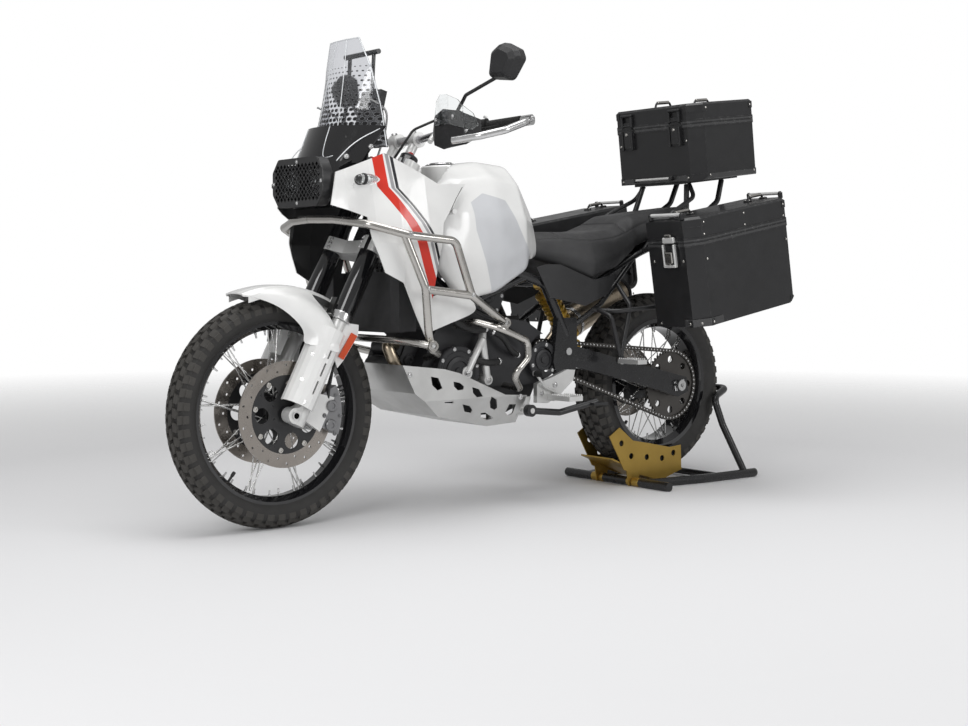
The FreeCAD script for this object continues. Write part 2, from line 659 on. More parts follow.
skin = size("skin")
guards = [crown]
for sign in (1, -1):
    round_of = list(range(-60, 141, 20))
    wrap = Part.Face(polygon(guard_section(guard_low, round_of, sign)))
    wrap = wrap.extrude(UP * (guard_high - guard_low))
    low, high = sorted((sign * 40, sign * (disc_y + 12)))
    room = [fork(guard_low - 5, 0, low), fork(guard_low - 5, 120, low), fork(545, 120, low),
            fork(545, 0, low)]
    wrap = wrap.cut(Part.Face(polygon(room)).extrude(V(0, high - low, 0)))
    for start in (442, 500, 558):
        slot = Part.Face(polygon([guard_point(start, 92, guard_r + 8, sign),
                                  guard_point(start, 100, guard_r + 8, sign),
                                  guard_point(start, 100, guard_r - 12, sign),
                                  guard_point(start, 92, guard_r - 12, sign)]))
        wrap = wrap.cut(slot.extrude(UP * 43))
    for station in (471, 553):
        centre = guard_point(station, 40, guard_r - 2.2, sign)
        out = centre - guard_point(station, 40, 0, sign)
        wrap = wrap.cut(Part.makeCone(5, 10, 8, centre, out))
    skirt_angles = [-60, -38, -16, 6, 28, 50]
    nets = []
    for radius, edge in ((guard_r, 62 + skin), (guard_r - skin, 62)):
        low_row = [guard_point(guard_high - 12, a, radius, sign) for a in skirt_angles]
        high_row = []
        for i in range(len(skirt_angles)):
            angle = math.radians(-1 + 4.6 * i)
            high_row.append(FRONT_AXLE + V(-366 * math.sin(angle), sign * edge,
                                           366 * math.cos(angle)))
        nets.append([low_row, high_row])
    skirt = thin_sheet(nets[0], nets[1])
    guards += [wrap, skirt]
    for station in (axle_along + 44, 560):
        start = fork(station, fork_t, sign * (fork_gap + 18))
        guards.append(rod(start, guard_point(station, 75, guard_r - 1, sign), 8))
    low, high = sorted((sign * 58, sign * 88))
    arm = [fork(700, fork_t + 2, low), fork(700, fork_t + 30, low), fork(756, fork_t + 30, low),
           fork(756, fork_t + 2, low)]
    guards.append(Part.Face(polygon(arm)).extrude(V(0, high - low, 0)))
    low, high = sorted((sign * 119, sign * 123))
    side_plate = [fork(556, -17, low), fork(590, 20, low), fork(690, 20, low), fork(706, -27, low),
                  fork(676, -40, low), fork(584, -26, low)]
    guards.append(Part.Face(polygon(side_plate)).extrude(V(0, high - low, 0)))
    low, high = sorted((sign * 122, sign * 129))
    reflector = [fork(586, -22, low), fork(586, -2, low), fork(672, -12, low), fork(672, -35, low)]
    guards.append(Part.Face(polygon(reflector)).extrude(V(0, high - low, 0)))
node("front_fender", fused(guards).cut(Part.makeCompound(legs)).cut(Part.makeCompound(tubes)))

calipers = []
for sign in (1, -1):
    low, high = sorted((sign * 46, sign * 104))
    block = turned([(108, low), (178, low), (178, high), (108, high)])
    wedge = Part.Face(polygon([V(0, low, 0), V(-300, low, -125), V(-300, low, 155)]))
    block = block.common(wedge.extrude(V(0, high - low, 0)))
    slot = turned([(60, sign * disc_y - 4.5), (163, sign * disc_y - 4.5),
                   (163, sign * disc_y + 4.5), (60, sign * disc_y + 4.5)])
    block = block.cut(slot)
    block.translate(FRONT_AXLE)
    calipers.append(block.cut(legs[0 if sign > 0 else 1]))
node("front_calipers", Part.makeCompound(calipers))

hose_r = size("hose_radius")
upper_route = [fork(1366, -10, 205), fork(1392, 34, 190), fork(1335, 68, 124), fork(1230, 70, 88),
               fork(1100, 42, 66), fork(966, 32, 62)]
lower_route = [fork(928, -7, 105), fork(610, -7, 105), fork(480, -30, 96)]
hose_runs = ((upper_route, 40, [master, risers, low_clamp]),
             (lower_route, 60, [low_clamp, legs[0], calipers[0]]))
cables = []
for route, bend, held in hose_runs:
    cable = tube(route, hose_r, bend)
    for part in held:
        cable = cable.cut(part)
    cables += both_sides(max(cable.Solids, key=lambda solid: solid.Volume))
node("control_cables", Part.makeCompound(cables))

# Frame.
head_low = low_yoke + low_height + size("bearing_gap")
head_high = top_yoke - size("bearing_gap")
frame_r = size("frame_tube")
pivot = V(size("pivot_x"), 0, size("pivot_z"))
headstock = rod(fork(head_low), fork(head_high), size("headstock_radius"))
members = [headstock]
upper_rail = [fork(1160, -10, 24), fork(1150, -95, 62), V(-600, 140, 900), V(-700, 150, 815),
              V(-960, 150, 735), V(-1058, 150, 560)]
lower_rail = [fork(1000, -10, 24), fork(985, -85, 60), V(-480, 140, 765), V(-620, 152, 668)]
for rail in (upper_rail, lower_rail,
             [V(-480, 140, 765), V(-600, 140, 900)],
             [V(-620, 152, 668), V(-700, 150, 815)],
             [V(-620, 152, 668), V(-880, 150, 760)]):
    members += both_sides(tube(rail, frame_r if rail in (upper_rail, lower_rail) else 12, 40))
members.append(rod(V(-880, -150, 760), V(-880, 150, 760), 12))
for sign in (1, -1):
    plate = [(-1010, 620), (-1095, 620), (-1100, 470), (-1080, 410), (-1020, 400), (-990, 470)]
    low, high = sorted((sign * 139, sign * 163))
    members.append(side_profile(plate, low, high))
frame = fused(members)
frame = frame.cut(rod(fork(head_low - 1), fork(head_high + 1), size("stem_radius") + 0.5))
pivot_bolt = size("rear_axle_outer")
frame = frame.cut(Part.makeCylinder(pivot_bolt, 400, pivot - V(0, 200, 0), V(0, 1, 0)))
node("main_frame", frame)

rail_r, rack_r = size("rail_tube"), size("rack_tube")
seat_rail = [V(-965, 150, 735), V(-1180, 142, 728), V(-1400, 142, 835), V(-1745, 128, 968)]
strut = [V(-1062, 150, 575), V(-1220, 150, 665), V(-1385, 142, 824)]
rails = both_sides(tube(seat_rail, rail_r, 60))
rails += both_sides(tube(strut, size("cross_tube"), 60))
for x, z, half in ((-1045, 733, 147), (-1372, 821, 142), (-1728, 961, 128)):
    rails.append(rod(V(x, -half, z), V(x, half, z), size("cross_tube")))
rack_y = size("side_case_y") - 16
front_half = [V(-1600, rack_y, 682), V(-1420, rack_y, 650), V(-1390, rack_y, 880),
              V(-1600, rack_y, 918)]
back_half = [V(-1600, rack_y, 918), V(-1800, rack_y, 955), V(-1835, rack_y, 722),
             V(-1600, rack_y, 682)]
hoop = tube(front_half, rack_r, 30).fuse(tube(back_half, rack_r, 30))
arms = [rod(V(-1430, 140, 848), V(-1430, rack_y, 887), rack_r),
        rod(V(-1735, 128, 964), V(-1760, rack_y, 948), rack_r),
        tube([V(-1180, 150, 645), V(-1240, 215, 640), V(-1425, rack_y, 660)], rack_r, 60)]
pucks = []
for x, z in ((-1413, 690), (-1397, 830), (-1815, 780), (-1806, 915)):
    pucks.append(Part.makeCylinder(14, size("side_case_y") - 0.3 - rack_y, V(x, rack_y, z),
                                   V(0, 1, 0)))
side_rack = fused([hoop] + arms + pucks)
tilt = math.radians(size("top_case_tilt"))
plate_z = size("top_case_z") - 2


def under_case(x, drop):
    """Point of the rack plate under the top case."""
    return x, size("top_case_z") + (size("top_case_x") - x) * math.tan(tilt) - drop


top_plate = side_profile([under_case(-1655, 9), under_case(-1655, size("case_seat")),
                          under_case(-1960, size("case_seat")), under_case(-1960, 9)], -120, 120)
for y in (-75, 0, 75):
    top_plate = top_plate.cut(Part.makeBox(190, 50, 200, V(-1905, y - 25, plate_z - 60)))
legs_up = [tube([V(-1620, 132, 925), V(-1668, 132, 1000), V(-1690, 112, plate_z - 6)], rack_r + 2, 40),
           tube([V(-1735, 128, 968), V(-1850, 120, 1040), V(-1880, 112, plate_z + 20)], rack_r + 2, 40)]
grab = [tube([V(-1435, 142, 850), V(-1470, 168, 915), V(-1560, 168, 990), V(-1690, 150, 1050),
              V(-1700, 115, plate_z - 2)], rack_r, 40)]
subframe = fused(rails).cut(frame)
node("subframe", subframe)
top_rack = [top_plate]
for shape in legs_up + grab:
    top_rack += both_sides(shape)
racks = Part.makeCompound([fused(top_rack)] + both_sides(side_rack)).cut(subframe).cut(frame)
node("luggage_racks", racks)

# Engine.
case_side = [(-474, 400), (-460, 470), (-520, 590), (-640, 645), (-900, 610), (-985, 560),
             (-1000, 440), (-970, 400)]
sump_side = [(-520, 345), (-474, 401), (-970, 401), (-940, 345), (-830, 305), (-600, 305)]
crankcase = side_profile(case_side, -128, 128).fuse(side_profile(sump_side, -95, 95))
covers = [Part.makeCylinder(82, 34, V(-585, 126, 455), V(0, 1, 0)),
          Part.makeCylinder(58, 24, V(-955, 126, 480), V(0, 1, 0)),
          Part.makeCylinder(92, 40, V(-770, -126, 458), V(0, -1, 0)),
          Part.makeCylinder(62, 28, V(-590, -126, 455), V(0, -1, 0))]
engine = fused([crankcase] + covers)
pinion = V(size("pinion_x"), 0, size("pinion_z"))
engine = engine.cut(Part.makeCylinder(62, 40, pinion + V(0, 100, 0), V(0, 1, 0)))
engine = engine.cut(side_profile([(-960, 560), (-1020, 580), (-1020, 420), (-960, 420)], 100, 170))
engine = engine.cut(frame)
node("engine_crankcase", engine)


def cylinder_block(base, angle, reach):
    """Barrel, head and cam covers along one bank."""
    local = [Part.makeBox(110, 132, reach - 95, V(-55, -66, 0)),
             Part.makeBox(124, 152, 68, V(-62, -76, reach - 95)),
             Part.makeCylinder(30, 140, V(-32, -70, reach - 30), V(0, 1, 0)),
             Part.makeCylinder(30, 140, V(32, -70, reach - 30), V(0, 1, 0)),
             Part.makeBox(110, 26, reach - 45, V(-55, -102, 20))]
    shape = fused(local)
    shape.rotate(V(0, 0, 0), V(0, 1, 0), 90 - angle)
    shape.translate(base)
    return shape


struts = []
strut_top = V(-684, 160, 558)
for start, end in ((V(-616, 164, 452), strut_top), (V(-703, 162, 426), strut_top),
                   (strut_top, V(-697, 146, 580))):
    struts += both_sides(rod(start, end, 12))
for x, z, radius in ((-616, 452, 20), (-703, 426, 17)):
    struts += both_sides(Part.makeCylinder(radius, 44, V(x, 124, z), V(0, 1, 0)))
front_bank = cylinder_block(V(-575, 0, 437), 24, 196)
rear_bank = cylinder_block(V(-700, 0, 520), 114, 250)
banks = fused([front_bank, rear_bank]).cut(engine).cut(frame)
node("engine_cylinders", banks)
struts = Part.makeCompound(fused(struts).cut(engine).cut(frame).cut(banks).Solids)
node("engine_struts", struts)

# Radiator: two cores in a shallow V behind the front wheel
radiator_side = [(-372, 774), (-408, 772), (-378, 588), (-342, 586)]
core = side_profile(radiator_side, 0, 162)
core = core.fuse(plan_profile([(-322, 158), (-322, 204), (-386, 204), (-386, 158)], 592, 770))
lug = rod(V(-392, 120, 752), V(-470, 136, 770), 6)
node("radiator", fused(both_sides(core) + both_sides(lug)).cut(frame).cut(banks))

pipe_r = size("exhaust_tube")
header = tube([V(-402, 70, 545), V(-352, 92, 556), V(-368, 104, 502), V(-404, 104, 448),
               V(-428, 40, 414), V(-434, -70, 412), V(-500, -122, 366), V(-640, -122, 338),
               V(-900, -122, 338), V(-1040, -134, 346), V(-1120, -160, 372), V(-1200, -186, 440),
               V(-1330, -196, 560)], pipe_r, 60)
muffler_start, muffler_end = V(-1315, -194, 552), V(-1672, -214, 705)
along = muffler_end - muffler_start
muffler = fused([Part.makeCone(pipe_r + 3, 56, 60, muffler_start, along),
                 rod(muffler_start + along * 0.14, muffler_end, 56), header])
muffler = muffler.cut(rod(muffler_end - along * 0.05, muffler_end + along * 0.1, 24))
muffler = muffler.cut(banks).cut(engine)
node("exhaust", muffler)

# Skid plate: bent sheet, open at the back and on top
sheet_t = size("sheet")


def tray(inset, open_top):
    cross = [(-125 + inset, 268 + inset), (125 - inset, 268 + inset), (190 - inset, 372),
             (190 - inset, 500 + open_top), (-190 + inset, 500 + open_top), (-190 + inset, 372)]
    side = [(-345 - inset + 0.52 * open_top, 488 + open_top), (-505, 470 + open_top),
            (-565, 455 + open_top), (-757, 376 + open_top), (-850 - 2 * open_top, 370 + open_top),
            (-850 - 2 * open_top, 276 + inset), (-730, 270 + inset), (-505, 318 + inset),
            (-392 - inset, 398 + 0.4 * inset)]
    return front_profile(cross, -1100, 0).common(side_profile(side, -250, 250))


skid = tray(0, 0).cut(tray(sheet_t, 60))
side_windows = [
    [(-453, 449), (-482, 443), (-498, 410), (-479, 404), (-458, 422)],
    [(-542, 429), (-568, 424), (-584, 412), (-582, 402), (-560, 400), (-544, 414)],
    [(-618, 408), (-645, 400), (-662, 376), (-637, 374), (-621, 389)],
    [(-697, 374), (-724, 362), (-741, 334), (-735, 326), (-712, 334), (-699, 355)],
    [(-788, 342), (-818, 340), (-820, 309), (-805, 302), (-786, 313)]]
low_windows = [
    [(-502, 372), (-513, 384), (-546, 368), (-546, 360), (-513, 362)],
    [(-587, 354), (-621, 346), (-638, 332), (-637, 322), (-608, 328)],
    [(-680, 318), (-699, 319), (-744, 297), (-719, 292), (-688, 303)]]
for window in side_windows:
    skid = skid.cut(side_profile(window, -260, 260))
for window in low_windows:
    for low in (100, -186):
        skid = skid.cut(side_profile(window, low, low + 86))
skid = skid.cut(Part.makeCylinder(7, 500, V(-372, -250, 458), V(0, 1, 0)))
for x, z in ((-640, 291), (-790, 275)):
    for y in (-62, 62):
        skid = skid.fuse(Part.makeCylinder(9, 40, V(x, y, z), V(0, 0, 1)).cut(engine))
node("skid_plate", skid)

guard_r = size("bar_guard_tube")
main_bar = tube([V(-136, 0, 934), V(-146, 112, 931), V(-186, 238, 914), V(-285, 308, 882),
                 V(-452, 316, 868), V(-516, 316, 700), V(-690, 262, 616), V(-716, 120, 600)],
                guard_r, 32)
down_bar = tube([V(-275, 298, 884), V(-338, 316, 728), V(-365, 296, 590), V(-395, 272, 540),
                 V(-462, 215, 520), V(-488, 120, 505)], guard_r, 34)
cross_bar = rod(V(-342, 314, 722), V(-512, 316, 702), guard_r)
lower_loop = tube([V(-600, 120, 600), V(-608, 215, 618), V(-660, 282, 596), V(-772, 282, 553),
                   V(-774, 282, 500), V(-712, 282, 446), V(-796, 216, 396), V(-806, 120, 402)], 11, 26)
bars = fused(both_sides(main_bar) + both_sides(down_bar) + both_sides(cross_bar))
bars = Part.makeCompound([bars] + both_sides(lower_loop)).cut(frame).cut(engine)
node("crash_bars", bars)

# Tank, panels, screen.
def hull(stations, radii):
    """Loft along X from half sections listed top to bottom, mirrored about the middle."""
    sections = []
    for x, rows in stations:
        left = [V(x, y, z) for y, z in rows]
        sections.append(left + [V(p.x, -p.y, p.z) for p in left[::-1]])
    return loft(sections, radii + radii[::-1])


tank_stations = [
    (-470, [(60, 1050), (150, 1030), (205, 960), (222, 860), (205, 790)]),
    (-560, [(95, 1108), (185, 1060), (232, 960), (238, 800), (222, 680)]),
    (-700, [(105, 1132), (190, 1075), (236, 950), (236, 800), (220, 708)]),
    (-830, [(95, 1125), (165, 1060), (205, 950), (212, 850), (205, 772)]),
    (-952, [(55, 1000), (88, 965), (112, 900), (122, 860), (118, 820)]),
]
tank = hull(tank_stations, [60, 60, 60, 50, 20])
tunnel = side_profile([(-440, 1030), (-560, 985), (-720, 880), (-960, 790), (-1000, 790),
                       (-1000, 500), (-440, 500)], -178, 178)
rear_room = side_profile([(-860, 812), (-1000, 822), (-1000, 500), (-860, 500)], -240, 240)
tank = tank.cut(tunnel).cut(rear_room)
steering_room = rod(fork(low_yoke), fork(top_yoke + 300), size("steering_room"))
tank = tank.cut(steering_room)
for y in (-70, 70):
    tank = tank.fuse(Part.makeBox(30, 24, 90, V(-895, y - 12, 762)))
tank = tank.fuse(Part.makeBox(190, 30, 24, V(-600, -15, 985))).cut(headstock).cut(frame)
cap = Part.makeCylinder(44, 60, V(-640, 0, 1092), V(0.05, 0, 1))
node("fuel_cap", cap.cut(Part.makeCylinder(36, 10, V(-640, 0, 1092) + V(0.05, 0, 1) * 54,
                                           V(0.05, 0, 1))).cut(tank))
node("fuel_tank", tank)

low_line = [(-96, 150), (-150, 205), (-220, 244), (-300, 262), (-400, 262), (-600, 258)]
high_line = [(-96, 118), (-150, 152), (-220, 178), (-300, 196), (-400, 212), (-600, 216)]


def band(line, height, thickness):
    outer = [V(x, y, height) for x, y in line]
    inner = [V(x, y - thickness, height) for x, y in line[::-1]]
    return outer + inner


panel = loft([band(low_line, 540, skin), band([(x, y + 4) for x, y in low_line], 860, skin),
              band(high_line, 1150, skin)])
outline = [(-112, 972), (-130, 1070), (-275, 1130), (-320, 1108), (-450, 1043), (-556, 1046),
           (-520, 1000), (-456, 925), (-428, 800), (-402, 680), (-388, 560), (-345, 640),
           (-298, 741), (-240, 771), (-204, 868), (-198, 936)]
panel = panel.common(side_profile(outline, 60, 320))
bosses = [Part.makeCylinder(8, 50, V(-505, 195, 960), V(0, 1, 0)),
          Part.makeCylinder(8, 50, V(-175, 138, 1030), V(0, 1, 0))]

housing = side_profile([(-122, 985), (-128, 1100), (-200, 1112), (-262, 1090), (-262, 985),
                        (-170, 968)], -140, 140)
housing = housing.common(plan_profile([(-112, 60), (-118, 120), (-150, 140), (-262, 135),
                                       (-262, -135), (-150, -140), (-118, -120), (-112, -60)],
                                      900, 1200))
node("side_fairings", Part.makeCompound(both_sides(panel.multiFuse(bosses).cut(tank).cut(housing))))
lamps = []
lamp_r = size("lamp_radius")
for sign in (1, -1):
    facing = V(-1, sign * 0.06, 0)
    centre = V(size("lamp_x"), sign * size("lamp_y"), size("lamp_z"))
    bowl = Part.makeCylinder(lamp_r, 48, centre, facing)
    dome = Part.makeSphere(lamp_r * 2.2, centre + facing * (lamp_r * 2.2 - 10))
    bowl = bowl.fuse(dome.common(Part.makeCylinder(lamp_r, 12, centre - facing * 12, facing)))
    housing = housing.cut(Part.makeCylinder(lamp_r + 0.3, 70, centre - facing * 20, facing))
    lamps.append(bowl)
node("headlamps", Part.makeCompound(lamps))

# Guard in front of the lamps: rounded frame with a diamond mesh.
guard_x, wire_t = size("lamp_guard_x"), size("lamp_guard_sheet")
outline = [(-142, 1010), (-108, 970), (108, 970), (142, 1010), (142, 1078), (108, 1118),
           (-108, 1118), (-142, 1078)]
mesh_wires = [rounded_wire([V(guard_x, y, z) for y, z in outline], [18] * len(outline))]
cell, hole = size("mesh_cell"), size("mesh_hole")
for row in range(-7, 8):
    for column in range(-14, 15):
        y, z = column * cell / 2, 1044 + row * cell / 2
        if (row + column) % 2 == 0 and abs(y) < 124 and 984 < z < 1104 and \
                abs(y) + 0.8 * abs(z - 1044) < 158:
            mesh_wires.append(polygon([V(guard_x, y - hole, z), V(guard_x, y, z + hole),
                                       V(guard_x, y + hole, z), V(guard_x, y, z - hole)]))
mesh = Part.makeFace(mesh_wires, "Part::FaceMakerBullseye").extrude(V(-wire_t, 0, 0))
posts = [Part.makeCylinder(4, 58, V(guard_x - 1, y, z), V(-1, 0, 0))
         for y, z in ((-134, 1044), (134, 1044), (0, 982), (0, 1106))]
lamp_guard = fused([mesh] + posts).cut(housing)
node("lamp_guard", lamp_guard)


def arc_band(height, front, back, half, thickness):
    """Wire of a curved sheet in plan: through the front point and two edge points."""
    outer = Part.Arc(V(back, half, height), V(front, 0, height), V(back, -half, height)).toShape()
    inner = Part.Arc(V(back - thickness, -half, height), V(front - thickness, 0, height),
                     V(back - thickness, half, height)).toShape()
    return Part.Wire([outer,
                      Part.LineSegment(V(back, -half, height),
                                       V(back - thickness, -half, height)).toShape(), inner,
                      Part.LineSegment(V(back - thickness, half, height),
                                       V(back, half, height)).toShape()])


screen_t = size("screen_sheet")
screen = Part.makeLoft([arc_band(1150, -180, -300, 176, screen_t),
                        arc_band(1265, -206, -300, 150, screen_t),
                        arc_band(1400, -236, -276, 122, screen_t),
                        arc_band(1488, -256, -264, 78, screen_t)], True, True)
node("windscreen", screen)
cowl = Part.makeLoft([arc_band(1100, -120, -232, 148, screen_t + 2),
                      arc_band(1215, -172, -304, 172, screen_t + 2)], True, True)
cowl.translate(V(10, 0, 0))
spacers = [rod(V(-190, y, 1178), V(-262, y, 1178), 5) for y in (-112, 112)]
node("nose_fairing", fused([housing, cowl] + spacers).cut(screen).cut(lamp_guard))
display = Part.makeBox(24, 108, 176, V(-345, -54, 1165))
display.rotate(V(-345, 0, 1165), V(0, 1, 0), -14)
stay = fused([rod(V(-404, 0, 1010), V(-300, 0, 1075), 12), rod(V(-300, -130, 1075), V(-300, 130, 1075), 9),
              rod(V(-262, -70, 1060), V(-300, -70, 1075), 8), rod(V(-262, 70, 1060), V(-300, 70, 1075), 8),
              rod(V(-300, 0, 1075), V(-352, 0, 1200), 9)])
bar_arm = tube([V(-330, 66, 1456), V(-322, 66, 1330), V(-300, 66, 1230), V(-300, 66, 1072)], 6, 40)
stay = stay.multiFuse([rod(V(-330, -92, 1450), V(-330, 92, 1450), 8), bar_arm, other_side(bar_arm)])
stay = stay.cut(headstock).cut(display).cut(housing)
node("instrument", fused([display, stay]))

# Seat, tail, covers.
seat_stations = [
    (-958, [(50, 905), (85, 880), (100, 840), (96, 818)]),
    (-1060, [(70, 912), (120, 890), (142, 830), (138, 790)]),
    (-1165, [(95, 905), (155, 880), (176, 800), (168, 752)]),
    (-1290, [(100, 920), (158, 895), (172, 830), (160, 792)]),
    (-1385, [(85, 966), (135, 925), (150, 880), (146, 852)]),
    (-1408, [(85, 975), (120, 955), (134, 900), (130, 862)]),
    (-1560, [(85, 996), (118, 980), (128, 935), (124, 915)]),
    (-1730, [(70, 1016), (102, 1004), (108, 985), (104, 978)]),
]
seat = hull(seat_stations, [40, 30, 20, 8])
node("seat", seat.cut(racks).cut(subframe))

cover = loft([band([(-880, 177), (-1000, 181), (-1180, 181), (-1290, 178)], 640, skin),
              band([(-880, 172), (-1000, 176), (-1180, 180), (-1290, 176)], 800, skin)])
cover = cover.common(side_profile([(-905, 790), (-985, 808), (-1160, 748), (-1275, 770), (-1230, 700),
                                   (-1120, 660), (-960, 690)], 100, 200))
side_cover = cover.cut(tank).cut(seat).cut(racks).cut(subframe).cut(frame)
node("side_covers", Part.makeCompound(both_sides(side_cover)))

tail = side_profile([(-1420, 838), (-1430, 826), (-1760, 946), (-1850, 962), (-1862, 985),
                     (-1760, 972)], -118, 118)
tail = tail.cut(racks).cut(subframe).cut(seat)
plate_arm = fused([side_profile([(-1800, 955), (-1840, 958), (-1938, 720), (-1945, 640),
                                 (-1925, 640), (-1918, 718)], -32, 32),
                   side_profile([(-1934, 760), (-1926, 762), (-1956, 610), (-1962, 610)], -92, 92)])
lamp_block = Part.makeBox(34, 110, 26, V(-1888, -55, 958))
node("tail_unit", fused([tail, plate_arm, lamp_block]))

# Luggage.


def case_outline(length, width, chamfer, inner_chamfer, inset):
    """Plan of a case with bevelled corners: its front at 0, going back, its inner side at 0."""
    a, b = chamfer, inner_chamfer
    points = [(-b, 0), (0, b), (0, width - a), (-a, width), (a - length, width),
              (-length, width - a), (-length, b), (b - length, 0)]
    if b < 1:
        points = [(0, 0), (0, width - a), (-a, width), (a - length, width), (-length, width - a),
                  (-length, 0)]
    wire = polygon([V(x, y, 0) for x, y in points])
    return wire.makeOffset2D(-inset, 2) if inset else wire


def case_rim(length, width, inner_chamfer, height, inset, reach):
    """Rim round a case between two heights, left off the hinge side and the inner side."""
    chamfer, proud = size("case_chamfer"), size("case_rim")
    around = Part.Face(case_outline(length, width, chamfer, inner_chamfer, -proud))
    within = Part.Face(case_outline(length, width, chamfer, inner_chamfer, inset))
    rim = around.cut(within).extrude(V(0, 0, height))
    start = -5 if inner_chamfer else 0.5
    return rim.common(Part.makeBox(reach, width + 20, height, V(-reach + 10, start, 0)))


def corner_guards(length, width, inner_chamfer, base, height):
    """Plates over the bevelled corners of a case."""
    chamfer, proud = size("case_chamfer"), size("case_rim")
    around = Part.Face(case_outline(length, width, chamfer, inner_chamfer, -proud))
    within = Part.Face(case_outline(length, width, chamfer, inner_chamfer, 1))
    ring = around.cut(within).extrude(V(0, 0, height))
    ring.translate(V(0, 0, base))
    flank = chamfer + 14
    corners = [(-flank, width - flank), (-length - 5, width - flank)]
    if inner_chamfer:
        corners += [(-flank, -5), (-length - 5, -5)]
    parts = []
    for x, y in corners:
        block = Part.makeBox(flank + 5, flank + 5, height, V(x, y, base))
        parts += ring.common(block).Solids
    return parts


def case_shapes(length, width, height, lid_height, inner_chamfer, bevel):
    """Case body and its lid, hinged along the back, in the case's own frame."""
    wall, chamfer, rim = size("case_wall"), size("case_chamfer"), size("case_rim")
    barrel, pin, gap = size("hinge_barrel"), size("hinge_pin"), size("lid_gap")
    outer = Part.Face(case_outline(length, width, chamfer, inner_chamfer, 0))
    room = Part.Face(case_outline(length, width, chamfer, inner_chamfer, wall))
    rim_height, guard_height = size("rim_height"), size("corner_guard")
    body = outer.extrude(V(0, 0, height))
    inside = room.extrude(V(0, 0, height))
    inside.translate(V(0, 0, wall))
    lower = case_rim(length, width, inner_chamfer, rim_height, 1, length - 20)
    upper = lower.copy()
    lower.translate(V(0, 0, height - rim_height))
    body = body.multiFuse(lower.Solids + corner_guards(length, width, inner_chamfer, 0, guard_height))
    side, depth = bevel
    past = 9  # the cutting wedges reach this far outside the faces
    back = -length - past
    if side == "back":
        cuts = [[V(back, -past, depth + past), V(back, -past, -past), V(past - length + depth, -past, -past)]]
        run = V(0, width + 2 * past, 0)
    else:
        cuts = [[V(back, -past, depth), V(back, -past, -past), V(back, depth, -past)],
                [V(back, width + past, depth), V(back, width + past, -past),
                 V(back, width - depth, -past)]]
        run = V(length + 2 * past, 0, 0)
    for corners in cuts:
        wedge = Part.Face(polygon(corners)).extrude(run)
        middle_point = V(-length / 2, width / 2, height)
        body = body.cut(wedge)
        toward = middle_point - wedge.CenterOfMass
        shift = V(toward.x, 0, toward.z) if side == "back" else V(0, toward.y, toward.z)
        shift.normalize()
        wedge.translate(shift * wall)
        inside = inside.cut(wedge)
    body = body.cut(inside)
    lid = outer.extrude(V(0, 0, lid_height))
    lid_room = room.extrude(V(0, 0, lid_height - wall))
    lid = lid.cut(lid_room)
    lid = lid.makeChamfer(wall * 2, [e for e in lid.Edges if e.BoundBox.ZMin > lid_height - 0.1
                                     and e.BoundBox.ZMax > lid_height - 0.1
                                     and e.Length > 30])
    lid = lid.multiFuse(upper.Solids + corner_guards(length, width, inner_chamfer,
                                                     lid_height - guard_height - wall * 2,
                                                     guard_height))
    lid.translate(V(0, 0, height + gap))
    axis_x, axis_z = -length - barrel - rim - 1, height + gap / 2
    middle = width / 2
    hold = barrel + rim + 1
    barrel_shape = Part.makeCylinder(barrel, 70, V(axis_x, middle - 35, axis_z), V(0, 1, 0))
    leaf = Part.makeBox(hold + 0.01, 70, 22, V(axis_x, middle - 35, axis_z + 1))
    lid = lid.multiFuse([barrel_shape, leaf])
    lid = lid.cut(Part.makeCylinder(pin + size("running_clearance"), 80,
                                    V(axis_x, middle - 40, axis_z), V(0, 1, 0)))
    hinge = [Part.makeCylinder(pin, 112, V(axis_x, middle - 56, axis_z), V(0, 1, 0))]
    for y in (middle - 57, middle + 37):
        hinge.append(Part.makeCylinder(barrel, 20, V(axis_x, y, axis_z), V(0, 1, 0)))
        hinge.append(Part.makeBox(hold + 0.01, 20, 30, V(axis_x, y, axis_z - 30)))
    body = body.multiFuse(hinge)
    for x in (-70, -length + 70):
        loop = tube([V(x - 42, middle, height + lid_height - 1),
                     V(x - 34, middle, height + lid_height + 16),
                     V(x + 34, middle, height + lid_height + 16),
                     V(x + 42, middle, height + lid_height - 1)], 4, 10)
        lid = lid.fuse(loop)
    latch_w, latch_h = size("latch_width"), size("latch_height")
    stations = [middle] if side == "back" else [middle - 120, middle + 120]
    for y in stations:
        plate_low = Part.makeBox(8, latch_w, latch_h, V(-1, y - latch_w / 2, height - latch_h))
        lever = Part.makeBox(14, latch_w - 22, latch_h - 14, V(-1, y - latch_w / 2 + 11,
                                                               height - latch_h + 8))
        lever = lever.makeChamfer(6, [e for e in lever.Edges if e.BoundBox.XMin > 12.9
                                      and e.Length > 50])
        body = body.multiFuse([plate_low, lever])
        hook = Part.makeBox(8, latch_w - 12, 26, V(-1, y - latch_w / 2 + 6, height + gap + 1))
        bar = Part.makeCylinder(4, latch_w - 16, V(7, y - latch_w / 2 + 8, height + gap + 15),
                                V(0, 1, 0))
        lid = lid.multiFuse([hook, bar])
    return body, lid, V(axis_x, middle, axis_z)


